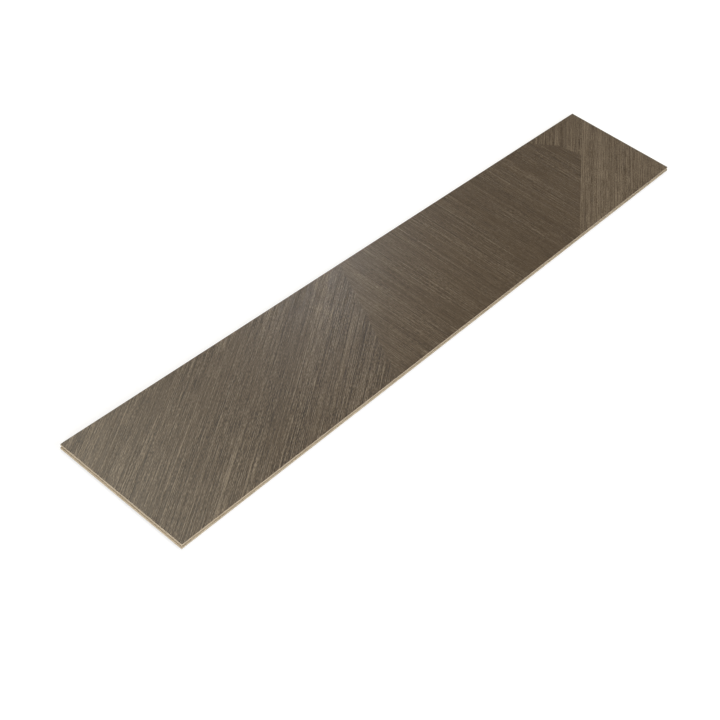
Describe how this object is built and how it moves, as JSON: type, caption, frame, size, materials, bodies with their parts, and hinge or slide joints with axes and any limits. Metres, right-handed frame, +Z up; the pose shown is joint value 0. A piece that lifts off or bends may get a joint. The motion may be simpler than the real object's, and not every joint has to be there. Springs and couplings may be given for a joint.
{
  "type": "laminate floor plank",
  "caption": "Laminate floor plank: fibreboard core with click joints on its long sides and ends, under a taupe wood-print face with grain laid at several angles.",
  "frame": {"origin": "on the underside, below the centre of the decor face", "axes": "+X along the plank towards the end with the groove, +Y across it towards the long side with the groove, +Z up out of the decor face"},
  "size_m": [1.2194, 0.2098, 0.008],
  "materials": {
    "core": "bare fibreboard, milled, matte",
    "decor": "taupe wood print under a matte-satin wear coat, with shallow grain relief"
  },
  "bodies": {
    "root": {"core_board": "core", "decor_layer": "decor"}
  },
  "joints": []
}
